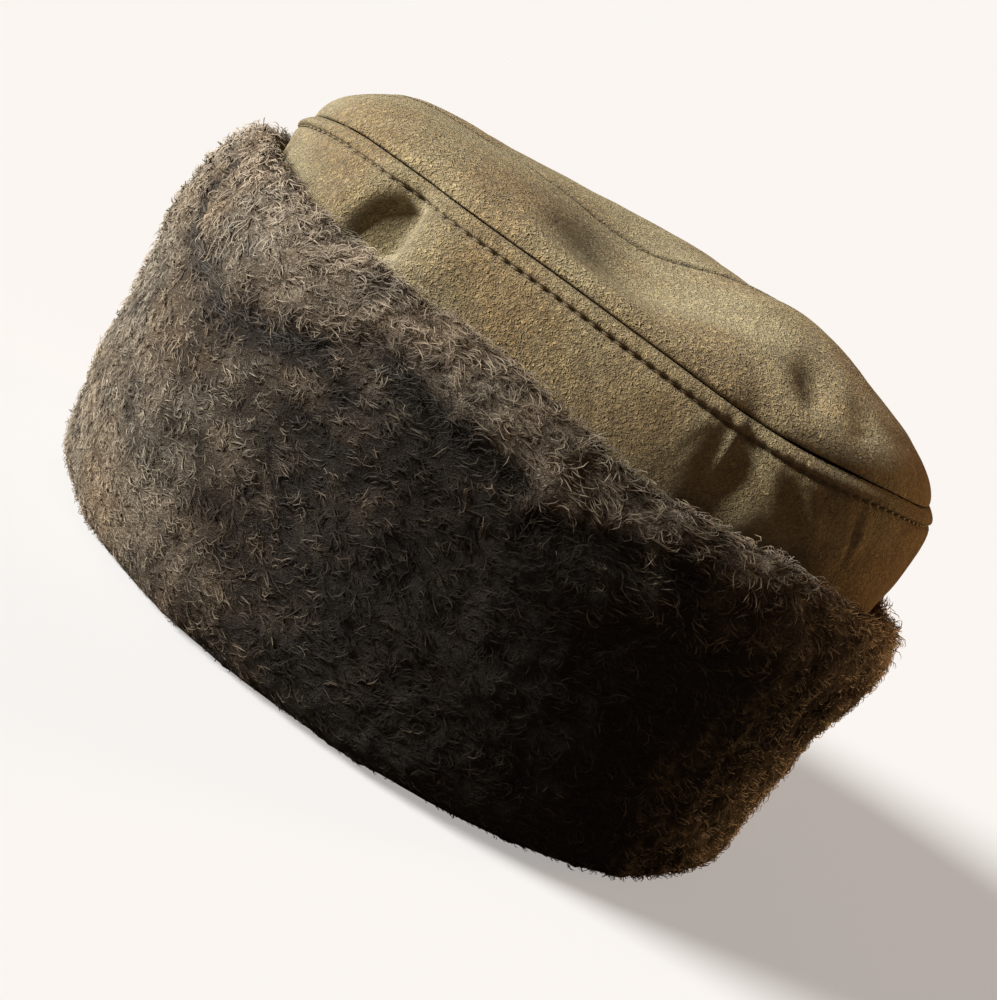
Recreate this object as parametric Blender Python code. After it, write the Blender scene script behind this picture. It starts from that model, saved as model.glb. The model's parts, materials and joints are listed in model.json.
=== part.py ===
"""Cossack hat: a soft suede crown in a wide turned-up sheepskin cuff.

Metres, +Z up. The hat stands on the foot of its cuff at z = 0, its long axis along X and its front at -X.
Around the hat, angles run from +X towards +Y, so the long side seen in the picture is at -90 degrees.
Every ring is an oval that stands a named distance outside the head opening.
"""

import math
import random

import bmesh
import bpy
from mathutils import Matrix, Vector

# Driving dimensions
HEAD_LENGTH = 0.204  # inside the opening, front to back
HEAD_WIDTH = 0.172
SUEDE = 0.002  # thickness of the crown's leather
SEAM_HEIGHT = 0.136  # mean height of the seam round the top
CROWN_FOOT = 0.004  # the side wall's lower edge, tucked above the cuff's foot
BAND_BULGE = 0.012  # how far the side swells outside its own foot
CROWN_LEAN = 0.0053  # how far the top sits behind the opening
TOP_RISE = 0.018  # dome of the top above its seam
STRIP_HEIGHT = 0.0043  # doubled leather under the seam, down to its row of stitches
STRIP_PROUD = 0.0006
CUFF_HEIGHT = 0.113  # crest of the cuff at the middle of a long side
PILE_DEPTH = 0.0265  # skin and wool outside the crown's foot
CUFF_LEAN = -0.004  # how far the cuff's foot sits ahead of the opening
LOCK_LIFT = 0.0040  # depth of the wool's locks, from their roots to their tips
LOCK_DROOP = 0.0040  # how far a tip hangs past its root
FUR_SWELL = 0.0016  # slow unevenness of the wool
CENTRE_DIP = 0.0024  # depth of the valley along the top's middle seam
GAP = 0.0003  # between neighbouring pieces

# How finely the pieces are cut
OVAL_POWER = 2.15  # 2 is an ellipse, more is squarer
SIDE_STEPS = 88  # round the crown, a multiple of 4
TOP_ROWS = 6
LOCKS_ROUND = 56
LOCK_ROWS = 11
INNER_ROWS = 3  # down the cuff's face that lies on the crown

# Section of the side wall: (height as a share of the seam's, swell as a share of BAND_BULGE)
SIDE_SECTION = (
    (0.00, 0.00),
    (0.20, 0.16),
    (0.45, 0.50),
    (0.68, 0.84),
    (0.80, 0.98),
    (0.86, 1.00),
    (0.93, 0.90),
    (0.968, 0.76),
    (1.00, 0.46),
)
SIDE_CUTS = (0.22, 0.48, 0.68, 0.78, 0.86, 0.93)  # heights of the wall's rings, as shares of the seam's

# The swell sits higher at the front and sags at the back: (angle, shift as a share of the seam's height)
SWELL_SHIFT = ((-180, 0.05), (-120, 0.02), (-60, -0.02), (0, -0.07), (60, -0.02), (120, 0.02))

# Seam round the top: (angle, height above its mean as a share of SEAM_HEIGHT)
SEAM_WAVE = (
    (-180, -0.014),
    (-138, 0.022),
    (-105, 0.020),
    (-85, 0.006),
    (-64, -0.013),
    (-40, -0.006),
    (-12, -0.016),
    (30, -0.004),
    (65, 0.010),
    (110, 0.014),
    (150, 0.004),
)

# The seam stands fuller at the front: (angle, reach as a share of BAND_BULGE)
SEAM_SPREAD = 0.07  # how far down that reaches, as a share of the seam's height
SEAM_REACH = ((-180, 0.26), (-140, 0.06), (-90, 0.0), (0, 0.04), (90, 0.0), (145, 0.20))

# Folds in the side wall: (angle, half width in degrees, depth as a share of BAND_BULGE,
# middle height and half height as shares of the seam's)
SIDE_FOLDS = (
    (-127, 3.8, 0.44, 0.91, 0.085),
    (-134, 8.0, 0.16, 0.90, 0.090),
    (-67, 3.4, 0.30, 0.89, 0.110),
    (-58, 5.0, -0.14, 0.86, 0.090),
    (-96, 12.0, 0.08, 0.86, 0.100),
    (52, 7.0, 0.16, 0.90, 0.090),
    (118, 9.0, 0.14, 0.89, 0.090),
)

# Puffs and hollows of the top: (along and across from its centre, then half length and half width,
# as shares of its half length and half width, then rise as a share of TOP_RISE)
TOP_FORMS = (
    (0.41, -0.18, 0.29, 0.40, 0.42),
    (0.15, 0.06, 0.14, 0.20, 0.14),
    (0.04, 0.44, 0.42, 0.26, 0.26),
    (-0.05, -0.52, 0.23, 0.45, -0.70),
    (-0.84, 0.10, 0.20, 0.50, 0.20),
    (0.49, -0.68, 0.055, 0.15, -0.34),
    (0.65, -0.62, 0.050, 0.12, -0.14),
    (0.20, -0.60, 0.060, 0.12, -0.10),
    (-0.30, 0.62, 0.080, 0.16, -0.14),
    (0.55, 0.50, 0.120, 0.20, -0.10),
)

# Crest of the cuff: (angle, height as a share of CUFF_HEIGHT)
CUFF_CREST = (
    (-180, 1.060),
    (-148, 1.085),
    (-132, 1.050),
    (-100, 1.035),
    (-85, 0.985),
    (-72, 0.968),
    (-54, 0.962),
    (-30, 0.925),
    (0, 0.880),
    (32, 0.925),
    (62, 0.960),
    (95, 0.990),
    (135, 1.040),
)

# How full the wool is near the foot: (angle, reach as a share of PILE_DEPTH)
FOOT_FULLNESS = ((-180, -0.03), (-142, -0.10), (-95, 0.0), (-50, 0.09), (0, -0.05), (90, 0.0), (140, -0.04))
FOOT_SPREAD = 0.30  # how far up that reaches, as a share of the cuff

# Section of the wool from the foot over the crest to the crown: (height as a share of the crest's,
# reach as a share of the way from the crown's face to PILE_DEPTH)
CUFF_SECTION = (
    (0.000, 0.52),
    (0.012, 0.74),
    (0.050, 0.92),
    (0.130, 1.00),
    (0.300, 1.00),
    (0.480, 0.99),
    (0.600, 1.01),
    (0.720, 1.10),
    (0.820, 1.14),
    (0.900, 1.06),
    (0.965, 0.84),
    (1.000, 0.50),
    (0.975, 0.20),
    (0.920, 0.05),
)

# Colours from the picture, in linear light
SUEDE_COLOUR = (0.300, 0.235, 0.130, 1.0)
WOOL_COLOUR = (0.105, 0.080, 0.060, 1.0)


def through(rows, at, loop=0.0):
    """The value at a place on the smooth curve through the rows (place, value). loop is the period, if it has one."""
    rows = [(row[0], row[1]) for row in rows]
    if loop:
        at = rows[0][0] + (at - rows[0][0]) % loop
        rows = (
            [(rows[-1][0] - loop, rows[-1][1])]
            + rows
            + [(place + loop, value) for place, value in rows[:2]]
        )
    at = min(max(at, rows[0][0]), rows[-1][0])
    k = next(n for n in range(len(rows) - 1) if at <= rows[n + 1][0])

    def slope(n):
        before, after = rows[max(n - 1, 0)], rows[min(n + 1, len(rows) - 1)]
        return (after[1] - before[1]) / (after[0] - before[0])

    (x0, y0), (x1, y1) = rows[k], rows[k + 1]
    width = x1 - x0
    s = (at - x0) / width
    return (
        y0 * (1 + 2 * s) * (1 - s) ** 2
        + y1 * s * s * (3 - 2 * s)
        + slope(k) * width * s * (1 - s) ** 2
        - slope(k + 1) * width * s * s * (1 - s)
    )


def bell(distance, half_width):
    return math.exp(-((distance / half_width) ** 2))


def turn_between(a, b):
    """The shorter way round from b to a, in degrees."""
    return (a - b + 180.0) % 360.0 - 180.0


def oval(angle, out, shift=0.0):
    """The point at this angle on the oval that stands `out` outside the head opening."""
    c, s = math.cos(math.radians(angle)), math.sin(math.radians(angle))
    r = (abs(c) ** OVAL_POWER + abs(s) ** OVAL_POWER) ** (-1.0 / OVAL_POWER)
    return shift + (HEAD_LENGTH / 2 + out) * c * r, (HEAD_WIDTH / 2 + out) * s * r


def seam_height(angle):
    return SEAM_HEIGHT * (1.0 + through(SEAM_WAVE, angle, 360.0))


def side_out(angle, height):
    """How far the side wall's outer face stands outside the head opening at this height."""
    share = min(max(height / seam_height(angle), 0.0), 1.0)
    upper = math.sin(math.pi * share) ** 2 if share > 0.5 else 2.0 * share
    shifted = share - through(SWELL_SHIFT, angle, 360.0) * upper
    swell = through(SIDE_SECTION, shifted) + through(SEAM_REACH, angle, 360.0) * bell(share - 1.0, SEAM_SPREAD)
    for fold, half_turn, depth, middle, half_height in SIDE_FOLDS:
        swell -= depth * bell(turn_between(angle, fold), half_turn) * bell(share - middle, half_height)
    return SUEDE + BAND_BULGE * swell


def lean(height):
    """The crown's shift along X at this height, which grows smoothly to the seam."""
    share = min(max(height / SEAM_HEIGHT, 0.0), 1.0)
    return CROWN_LEAN * share * share * (3.0 - 2.0 * share)


def side_point(angle, height, out=0.0):
    x, y = oval(angle, side_out(angle, height) + out, lean(height))
    return Vector((x, y, height))


def top_rise(along, across):
    """Height of the top's outer face over its seam, at shares of its half length and half width."""
    radius = (abs(along) ** OVAL_POWER + abs(across) ** OVAL_POWER) ** (1.0 / OVAL_POWER)
    inside = max(1.0 - radius**4, 0.0)
    rise = inside**0.6
    for x, y, length, width, height in TOP_FORMS:
        rise += height * bell(along - x, length) * bell(across - y, width) * min(1.0, 2.0 * inside)
    return TOP_RISE * rise - CENTRE_DIP * bell(across, 0.09) * min(1.0, 3.0 * inside)


def top_point(along, across, inner):
    """A point of the top's outer face, or of its inner one."""
    angle = math.degrees(math.atan2(across, along))
    radius = (abs(along) ** OVAL_POWER + abs(across) ** OVAL_POWER) ** (1.0 / OVAL_POWER)
    rim = side_out(angle, seam_height(angle))
    half_length, half_width = HEAD_LENGTH / 2 + rim, HEAD_WIDTH / 2 + rim
    base = SEAM_HEIGHT + (seam_height(angle) - SEAM_HEIGHT) * radius**3 + GAP
    height = base + top_rise(along, across)
    if inner:
        half_length -= SUEDE
        half_width -= SUEDE
        height -= SUEDE * min(1.0, 12.0 * (1.0 - radius))
        height = max(height, base)
    return Vector((CROWN_LEAN + half_length * along, half_width * across, height))


def mesh_object(name, bm, material):
    """Puts the finished mesh into the scene, smooth but for its creases."""
    bmesh.ops.remove_doubles(bm, verts=bm.verts, dist=1e-6)
    bmesh.ops.recalc_face_normals(bm, faces=bm.faces)
    mesh = bpy.data.meshes.new(name)
    bm.to_mesh(mesh)
    bm.free()
    mesh.materials.append(material)
    mesh.shade_smooth()
    mesh.set_sharp_from_angle(angle=math.radians(50.0))
    piece = bpy.data.objects.new(name, mesh)
    bpy.context.scene.collection.objects.link(piece)
    return piece


def leather(name, colour, roughness):
    material = bpy.data.materials.new(name)
    material.use_nodes = True
    shader = material.node_tree.nodes["Principled BSDF"]
    shader.inputs["Base Color"].default_value = colour
    shader.inputs["Roughness"].default_value = roughness
    shader.inputs["Metallic"].default_value = 0.0
    return material


def lofted(name, rings, material):
    """A closed body whose rings of points follow each other round its section, the last joined to the first."""
    bm = bmesh.new()
    loops = [[bm.verts.new(point) for point in ring] for ring in rings]
    for first, second in zip(loops, loops[1:] + loops[:1]):
        for i in range(len(first)):
            j = (i + 1) % len(first)
            bm.faces.new((first[i], first[j], second[j], second[i]))
    return mesh_object(name, bm, material)


def crown_side(material):
    """The suede wall from the cuff's foot to the seam, with the doubled strip at its upper edge."""
    angles = [360.0 * i / SIDE_STEPS for i in range(SIDE_STEPS)]

    def ring(height_at, out):
        return [side_point(a, height_at(a), out) for a in angles]

    outer = [ring(lambda a: CROWN_FOOT, 0.0)]
    outer += [ring(lambda a, cut=cut: cut * seam_height(a), 0.0) for cut in SIDE_CUTS]
    outer.append(ring(lambda a: seam_height(a) - STRIP_HEIGHT - STRIP_PROUD, 0.0))
    outer.append(ring(lambda a: seam_height(a) - STRIP_HEIGHT, STRIP_PROUD))
    outer.append(ring(seam_height, 0.0))
    inner = [ring(lambda a: CROWN_FOOT, -SUEDE)]
    inner += [ring(lambda a, cut=cut: cut * seam_height(a), -SUEDE) for cut in SIDE_CUTS]
    inner.append(ring(seam_height, -SUEDE))
    return lofted("crown_side", outer + inner[::-1], material)


def top_panel(name, way, material):
    """One half of the top, from the middle seam to the seam round it. way is -1 for the near half."""
    half = SIDE_STEPS // 2
    columns = []
    for i in range(1, half):
        angle = math.radians(360.0 * i / SIDE_STEPS)
        c, s = math.cos(angle), math.sin(angle)
        r = (abs(c) ** OVAL_POWER + abs(s) ** OVAL_POWER) ** (-1.0 / OVAL_POWER)
        columns.append((c * r, s * r))
    middle = GAP / 2 / (HEAD_WIDTH / 2)
    bm = bmesh.new()
    faces = []
    for inner in (False, True):
        grid = []
        for along, edge in columns:
            rows = []
            for k in range(TOP_ROWS + 1):
                share = math.sin(math.pi / 2 * k / TOP_ROWS)
                across = way * (middle + (edge - middle) * share)
                rows.append(bm.verts.new(top_point(along, across, inner)))
            grid.append(rows)
        faces.append(grid)
    outer, under = faces
    last, rim = len(columns) - 1, TOP_ROWS
    for i in range(last):
        for k in range(rim):
            for grid in (outer, under):
                bm.faces.new((grid[i][k], grid[i + 1][k], grid[i + 1][k + 1], grid[i][k + 1]))
        for k in (0, rim):
            bm.faces.new((outer[i][k], outer[i + 1][k], under[i + 1][k], under[i][k]))
    for i in (0, last):
        for k in range(rim):
            bm.faces.new((outer[i][k], outer[i][k + 1], under[i][k + 1], under[i][k]))
    return mesh_object(name, bm, material)


def crest_height(angle):
    return CUFF_HEIGHT * through(CUFF_CREST, angle, 360.0)


def cuff_point(angle, height, reach):
    """A point of the wool: reach 0 lies on the crown, 1 stands PILE_DEPTH outside the crown's foot."""
    face = side_out(angle, height) + GAP
    share = min(height / CUFF_HEIGHT, 1.0)
    fullness = through(FOOT_FULLNESS, angle, 360.0) * bell(share, FOOT_SPREAD)
    full = SUEDE + PILE_DEPTH * (1.0 + fullness)
    inner_shift = lean(height)
    outer_shift = CUFF_LEAN * (1.0 - share) + inner_shift * share
    x, y = oval(angle, face + (full - face) * reach, inner_shift + (outer_shift - inner_shift) * min(reach, 1.0))
    return Vector((x, y, height))


def section_place(share):
    """(height, reach) at this share of the way from the foot over the crest to the crown."""
    lengths = [0.0]
    for (h0, r0), (h1, r1) in zip(CUFF_SECTION, CUFF_SECTION[1:]):
        step = math.hypot((h1 - h0) * CUFF_HEIGHT, (r1 - r0) * PILE_DEPTH)
        lengths.append(lengths[-1] + step)
    at = share * lengths[-1]
    heights = [(length, row[0]) for length, row in zip(lengths, CUFF_SECTION)]
    reaches = [(length, row[1]) for length, row in zip(lengths, CUFF_SECTION)]
    return through(heights, at), through(reaches, at)


def fur_cuff(material):
    """The sheepskin cuff: a backing that follows the crown, and staggered locks fused to it."""
    chance = random.Random(7)
    around, along = 2 * LOCKS_ROUND, 2 * LOCK_ROWS
    angles = [360.0 * i / around for i in range(around)]
    places = [section_place(j / along) for j in range(along + 1)]

    def plain(i, j):
        height, reach = places[j]
        angle = angles[i % around]
        return cuff_point(angle, height * crest_height(angle), reach)

    surface = [[plain(i, j) for i in range(around)] for j in range(along + 1)]
    rings = [[cuff_point(a, 0.0, 0.0) for a in angles]]
    rings.append([point.copy() for point in surface[0]])
    for j in range(1, along):
        row = (j - 1) // 2
        ring = []
        for i, point in enumerate(surface[j]):
            up = (surface[j + 1][i] - surface[j - 1][i]).normalized()
            round_way = (surface[j][(i + 1) % around] - surface[j][i - 1]).normalized()
            outward = round_way.cross(up)
            turn = math.radians(angles[i])
            swell = math.sin(5 * turn + 0.9 * row) + math.sin(11 * turn - 1.7 * row)
            inside_ends = min(1.0, 0.5 * j, 0.5 * (along - j))
            lift = 0.5 * FUR_SWELL * swell - 0.7 * LOCK_LIFT
            aside = Vector((0.0, 0.0, 0.0))
            if j % 2 == 1 and (i + row) % 2 == 0:
                lift += LOCK_LIFT * chance.uniform(0.8, 1.3)
                aside = round_way * LOCK_DROOP * chance.uniform(-0.7, 0.7)
                aside -= up * LOCK_DROOP * chance.uniform(0.5, 1.2)
            else:
                aside = round_way * LOCK_DROOP * chance.uniform(-0.25, 0.25)
                aside += up * LOCK_DROOP * chance.uniform(-0.25, 0.25)
                lift -= LOCK_LIFT * chance.uniform(0.0, 0.35)
            moved = point + (outward * lift + aside) * inside_ends
            moved.z = max(moved.z, 2 * GAP)
            ring.append(moved)
        rings.append(ring)
    rings.append([point.copy() for point in surface[along]])
    lip = places[along][0]
    for k in range(1, INNER_ROWS + 1):
        share = lip * (1.0 - k / (INNER_ROWS + 1))
        rings.append([cuff_point(a, share * crest_height(a), 0.0) for a in angles])
    return lofted("fur_cuff", rings, material)


def main():
    for old in list(bpy.data.objects):
        bpy.data.objects.remove(old, do_unlink=True)
    suede = leather("olive_suede", SUEDE_COLOUR, 0.92)
    wool = leather("brown_wool", WOOL_COLOUR, 0.95)
    pieces = [
        crown_side(suede),
        top_panel("top_panel_near", -1, suede),
        top_panel("top_panel_far", 1, suede),
        fur_cuff(wool),
    ]
    # The origin is the middle of the whole hat's box, on the floor.
    xs = [v.co.x for piece in pieces for v in piece.data.vertices]
    ys = [v.co.y for piece in pieces for v in piece.data.vertices]
    middle = Vector(((max(xs) + min(xs)) / 2, (max(ys) + min(ys)) / 2, 0.0))
    for piece in pieces:
        piece.data.transform(Matrix.Translation(-middle))


main()
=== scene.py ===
"""Dresses the cossack hat: napped suede panels with seams and stitches, and a cuff of short curled wool.

Metres, +Z up. The hat's long axis lies along X with its front at -X, and the cuff's foot stands on z = 0.
Angles run from +X towards +Y, so the long side seen in the picture is at -90 degrees.
"""

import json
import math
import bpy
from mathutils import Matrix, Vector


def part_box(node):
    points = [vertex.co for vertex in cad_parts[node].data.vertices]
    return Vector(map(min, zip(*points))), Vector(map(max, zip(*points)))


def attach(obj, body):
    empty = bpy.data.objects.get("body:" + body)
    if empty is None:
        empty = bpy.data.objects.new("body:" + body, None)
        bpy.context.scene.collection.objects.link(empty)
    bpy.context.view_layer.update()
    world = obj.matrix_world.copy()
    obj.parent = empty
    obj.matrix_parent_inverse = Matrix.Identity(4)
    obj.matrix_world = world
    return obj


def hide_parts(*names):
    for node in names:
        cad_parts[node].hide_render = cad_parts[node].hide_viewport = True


bl_info = {
    "name": "Cossack Hat Maker",
    "version": (1, 0, 0),
    "blender": (4, 5, 0),
    "location": "View3D > Sidebar > Hat",
    "description": "Makes the suede crown, its seams and stitches and the wool cuff round the packed hat",
    "category": "Add Mesh",
}

import bmesh
import bpy
import numpy as np
from bpy.props import FloatProperty, FloatVectorProperty, IntProperty, PointerProperty
from mathutils import Matrix, Vector, kdtree, noise

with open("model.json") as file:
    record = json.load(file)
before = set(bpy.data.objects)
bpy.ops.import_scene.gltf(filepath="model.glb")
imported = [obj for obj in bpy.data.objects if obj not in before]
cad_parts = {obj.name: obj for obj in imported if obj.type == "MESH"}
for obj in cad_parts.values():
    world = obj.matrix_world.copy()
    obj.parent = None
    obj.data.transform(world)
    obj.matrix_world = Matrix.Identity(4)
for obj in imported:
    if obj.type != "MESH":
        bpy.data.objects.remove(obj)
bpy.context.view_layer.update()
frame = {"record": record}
BODY = "root"

# Driving dimensions, as in the part
HEAD_LENGTH = 0.204
HEAD_WIDTH = 0.172
SUEDE = 0.002
SEAM_HEIGHT = 0.136
CROWN_FOOT = 0.004
BAND_BULGE = 0.012
CROWN_LEAN = 0.0053
TOP_RISE = 0.018
STRIP_HEIGHT = 0.0043
STRIP_PROUD = 0.0006
CUFF_HEIGHT = 0.113
PILE_DEPTH = 0.0265
CUFF_LEAN = -0.004
GAP = 0.0003
OVAL_POWER = 2.15

# Sizes of the dressing alone
CENTRE_DIP = 0.0010  # valley along the middle seam, shallower than the part's
RIM_OUT = 0.0085  # how far the seam stands outside the opening, on the mean
SIDE_RADIUS = 0.105  # mean radius of the crown, which turns degrees into metres
WOOL_RADIUS = 0.117  # the same for the wool
WOOL_GIRTH = 0.760  # the wool's way round on its map
MAP_ROW = 0.0024  # height of one ring of the backing on its map
MIDDLE_STRIP = 0.0066  # finely ruled strip beside the middle seam
STITCH = (0.0027, 0.00050, 0.00045)  # length, width and height
STITCH_DROOP = 0.00022
STITCH_PROUD = 0.00010
WOOL_SINK = 0.0016  # how far the backing lies under the wool's outline

# Section of the side wall, as in the part: (height as a share of the seam's, swell as a share of BAND_BULGE)
SIDE_SECTION = (
    (0.00, 0.00),
    (0.20, 0.16),
    (0.45, 0.50),
    (0.68, 0.84),
    (0.80, 0.98),
    (0.86, 1.00),
    (0.93, 0.90),
    (0.968, 0.76),
    (1.00, 0.46),
)
# How far that section is shifted down the wall: (angle, share of its height)
SWELL_SHIFT = ((-180, 0.05), (-120, 0.02), (-60, -0.02), (0, -0.07), (60, -0.02), (120, 0.02))
# Rise of the seam over its mean height: (angle, share of SEAM_HEIGHT)
SEAM_WAVE = (
    (-180, -0.058),
    (-158, -0.010),
    (-138, 0.022),
    (-105, 0.020),
    (-85, 0.006),
    (-64, -0.013),
    (-40, -0.006),
    (-12, -0.016),
    (30, -0.004),
    (65, 0.010),
    (110, 0.014),
    (150, -0.010),
)
# How far the wall leans out at the seam: (angle, share of BAND_BULGE), and how far down that reaches
SEAM_SPREAD = 0.07
SEAM_REACH = ((-180, 0.40), (-140, 0.10), (-90, 0.0), (0, 0.04), (90, 0.0), (145, 0.24))

# Folds of the side: (angle, half width in degrees, depth as a share of BAND_BULGE, middle height and
# half height as shares of the seam's)
SIDE_FOLDS = (
    (-124.6, 3.6, 0.80, 0.885, 0.075),
    (-116.0, 5.0, -0.24, 0.870, 0.075),
    (-141, 8.0, -0.10, 0.930, 0.060),
    (-67, 3.4, 0.30, 0.89, 0.110),
    (-58, 5.0, -0.05, 0.86, 0.090),
    (-96, 12.0, 0.08, 0.86, 0.100),
    (52, 7.0, 0.16, 0.90, 0.090),
    (118, 9.0, 0.14, 0.89, 0.090),
)
# Puffs and dents of the top: (along, across, half length, half width, height as a share of TOP_RISE)
TOP_FORMS = (
    (0.41, -0.18, 0.29, 0.40, 0.42),
    (0.15, 0.06, 0.14, 0.20, 0.14),
    (0.04, 0.44, 0.42, 0.26, 0.26),
    (-0.05, -0.52, 0.24, 0.45, -0.62),
    (-0.84, 0.10, 0.20, 0.50, 0.20),
    (0.49, -0.68, 0.065, 0.15, -0.22),
    (0.65, -0.62, 0.060, 0.12, -0.10),
    (0.20, -0.60, 0.080, 0.12, -0.06),
    (-0.30, 0.62, 0.080, 0.16, -0.14),
    (0.55, 0.50, 0.120, 0.20, -0.10),
)
# Crest of the cuff: (angle, share of CUFF_HEIGHT)
CUFF_CREST = (
    (-180, 1.060),
    (-148, 1.085),
    (-132, 1.050),
    (-100, 1.035),
    (-85, 0.985),
    (-72, 0.968),
    (-54, 0.962),
    (-30, 0.915),
    (0, 0.862),
    (32, 0.915),
    (62, 0.960),
    (95, 0.990),
    (135, 1.040),
)
# How much fuller the wool is at its foot: (angle, share of PILE_DEPTH), and how far up that reaches
FOOT_FULLNESS = (
    (-180, -0.20),
    (-142, -0.28),
    (-105, -0.12),
    (-50, 0.06),
    (0, -0.06),
    (90, -0.08),
    (140, -0.20),
)
FOOT_SPREAD = 0.30
# Section of the wool: (height as a share of the crest's, reach as a share of PILE_DEPTH)
CUFF_SECTION = (
    (0.000, 0.52),
    (0.012, 0.74),
    (0.050, 0.92),
    (0.130, 1.00),
    (0.300, 1.00),
    (0.480, 0.99),
    (0.600, 1.01),
    (0.720, 1.10),
    (0.820, 1.14),
    (0.900, 1.06),
    (0.965, 0.84),
    (1.000, 0.50),
    (0.975, 0.20),
    (0.920, 0.05),
)

# Finer creases of the side wall: (angle, height as a share of the seam's, length, heading in degrees
# from the way round, half width, depth)
SIDE_CREASES = (
    (-126.6, 0.862, 0.026, 68, 0.0046, 0.0050),
    (-69.2, 0.920, 0.019, 92, 0.0017, -0.0016),
    (-60.8, 0.907, 0.017, -45, 0.0022, -0.0006),
    (-55.0, 0.886, 0.019, -54, 0.0020, 0.0016),
    (-106.0, 0.925, 0.011, -58, 0.0007, 0.0006),
    (-99.0, 0.890, 0.016, -35, 0.0009, 0.0005),
    (-88.0, 0.870, 0.014, -50, 0.0010, 0.0004),
    (-122.0, 0.915, 0.012, -75, 0.0011, 0.0007),
    (-131.5, 0.905, 0.014, -110, 0.0012, 0.0006),
    (-74.0, 0.905, 0.015, 70, 0.0011, 0.0002),
    (-44.0, 0.900, 0.016, -70, 0.0012, 0.0006),
    (-20.0, 0.910, 0.014, 65, 0.0011, 0.0005),
    (20.0, 0.905, 0.016, -70, 0.0011, 0.0006),
    (44.0, 0.915, 0.013, 60, 0.0010, 0.0007),
    (84.0, 0.900, 0.017, -65, 0.0012, 0.0006),
    (112.0, 0.910, 0.014, 75, 0.0010, 0.0007),
    (150.0, 0.905, 0.015, -60, 0.0011, 0.0006),
    (-165.0, 0.900, 0.015, 65, 0.0012, 0.0005),
)

# Finer creases of the top: (along and across as shares, length, heading in degrees, half width, depth)
TOP_CREASES = (
    (0.50, -0.74, 0.013, 80, 0.0015, 0.0006),
    (0.66, -0.66, 0.010, 60, 0.0014, 0.0005),
    (0.21, -0.72, 0.011, 100, 0.0012, 0.0005),
    (-0.62, -0.60, 0.012, 55, 0.0012, 0.0005),
    (-0.33, 0.72, 0.013, -75, 0.0012, 0.0008),
    (0.30, 0.78, 0.012, -95, 0.0011, 0.0007),
    (0.58, 0.62, 0.013, -60, 0.0012, 0.0006),
    (-0.70, 0.52, 0.011, -50, 0.0012, 0.0006),
)

# Partings between the wool's locks, sunk into the wool and painted dark with shade: how strong, and a run of
# (angle, share of the way up the section)
WOOL_PARTINGS = (
    (1.4, ((-153, 0.78), (-151, 0.70), (-149, 0.63), (-139, 0.60))),
    (1.0, ((-139, 0.60), (-130, 0.58), (-118, 0.64), (-112, 0.72))),
    (1.0, ((-109, 0.72), (-99, 0.67), (-89, 0.69))),
    (0.8, ((-84, 0.66), (-75, 0.70), (-66, 0.73))),
    (0.8, ((-34, 0.60), (-29, 0.66), (-22, 0.74))),
    (0.4, ((-168, 0.35), (-160, 0.42), (-152, 0.44))),
    (0.4, ((20, 0.58), (34, 0.64), (44, 0.72))),
    (0.4, ((72, 0.60), (88, 0.66), (98, 0.74))),
    (0.4, ((118, 0.66), (132, 0.60), (150, 0.67))),
)
PARTING_WIDTH = 0.0046
PARTING_DEPTH = 0.0026

# Mean way that the hairs lie on the outer face: (angle, heading in degrees from the way round towards up)
WOOL_FLOW = (
    (-180, 0),
    (-150, -8),
    (-120, 12),
    (-95, 34),
    (-70, 10),
    (-45, -30),
    (-10, -15),
    (60, 10),
    (120, 5),
)

# Layers of hairs: (name, segments, spacing in metres, length and reach as shares, how far the crest's hairs
# stand up, how deep the layer lies in metres, shift of tone)
WOOL_LAYERS = (
    ("wool_under", 2, 0.00173, 0.80, 0.92, 0.3, -0.0006, -0.02),
    ("wool_curls", 3, 0.00212, 1.10, 0.90, 1.0, 0.0, 0.10),
)

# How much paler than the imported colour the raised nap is, for red, green and blue
NAP_LIFT = (1.6667, 1.6936, 1.6615)
PRESSED_NAP_AND_SEAM_SHADE = 0.35  # pressed nap and painted seam shade along a seam, as a share of the dark

# Studio light: the key's way (azimuth and elevation in degrees), strength and colour, the fill and the floor
KEY_WAY = (-165.0, 22.0)
KEY = 9.2
KEY_COLOUR = (1.0, 0.975, 0.94)
KICK_WAY = (38.0, 5.0)
KICK = 2.3
KICK_COLOUR = (1.0, 0.55, 0.22)
FILL = 0.09
FILL_COLOUR = (1.0, 0.66, 0.48)
FLOOR = (0.77, 0.79, 0.81)
FLOOR_BOUNCE = (0.20, 0.145, 0.10)  # what the floor throws back at the hat
FLOOR_GLOW = 0.4


def through(rows, at, loop=0.0):
    """Values at these places on the smooth curve through the rows (place, value), which may loop."""
    places = np.array([row[0] for row in rows], float)
    values = np.array([row[1] for row in rows], float)
    at = np.asarray(at, float)
    if loop:
        at = places[0] + (at - places[0]) % loop
        places = np.concatenate([[places[-1] - loop], places, places[:2] + loop])
        values = np.concatenate([[values[-1]], values, values[:2]])
    at = np.clip(at, places[0], places[-1])
    slopes = np.gradient(values)
    slopes[0] = (values[1] - values[0]) / (places[1] - places[0])
    slopes[-1] = (values[-1] - values[-2]) / (places[-1] - places[-2])
    slopes[1:-1] = (values[2:] - values[:-2]) / (places[2:] - places[:-2])
    k = np.clip(np.searchsorted(places, at) - 1, 0, len(places) - 2)
    width = places[k + 1] - places[k]
    s = (at - places[k]) / width
    return (
        values[k] * (1 + 2 * s) * (1 - s) ** 2
        + values[k + 1] * s * s * (3 - 2 * s)
        + slopes[k] * width * s * (1 - s) ** 2
        - slopes[k + 1] * width * s * s * (1 - s)
    )


def bell(distance, half_width):
    return np.exp(-((distance / half_width) ** 2))


def smooth_step(low, high, at):
    s = np.clip((at - low) / (high - low), 0.0, 1.0)
    return s * s * (3 - 2 * s)


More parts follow.
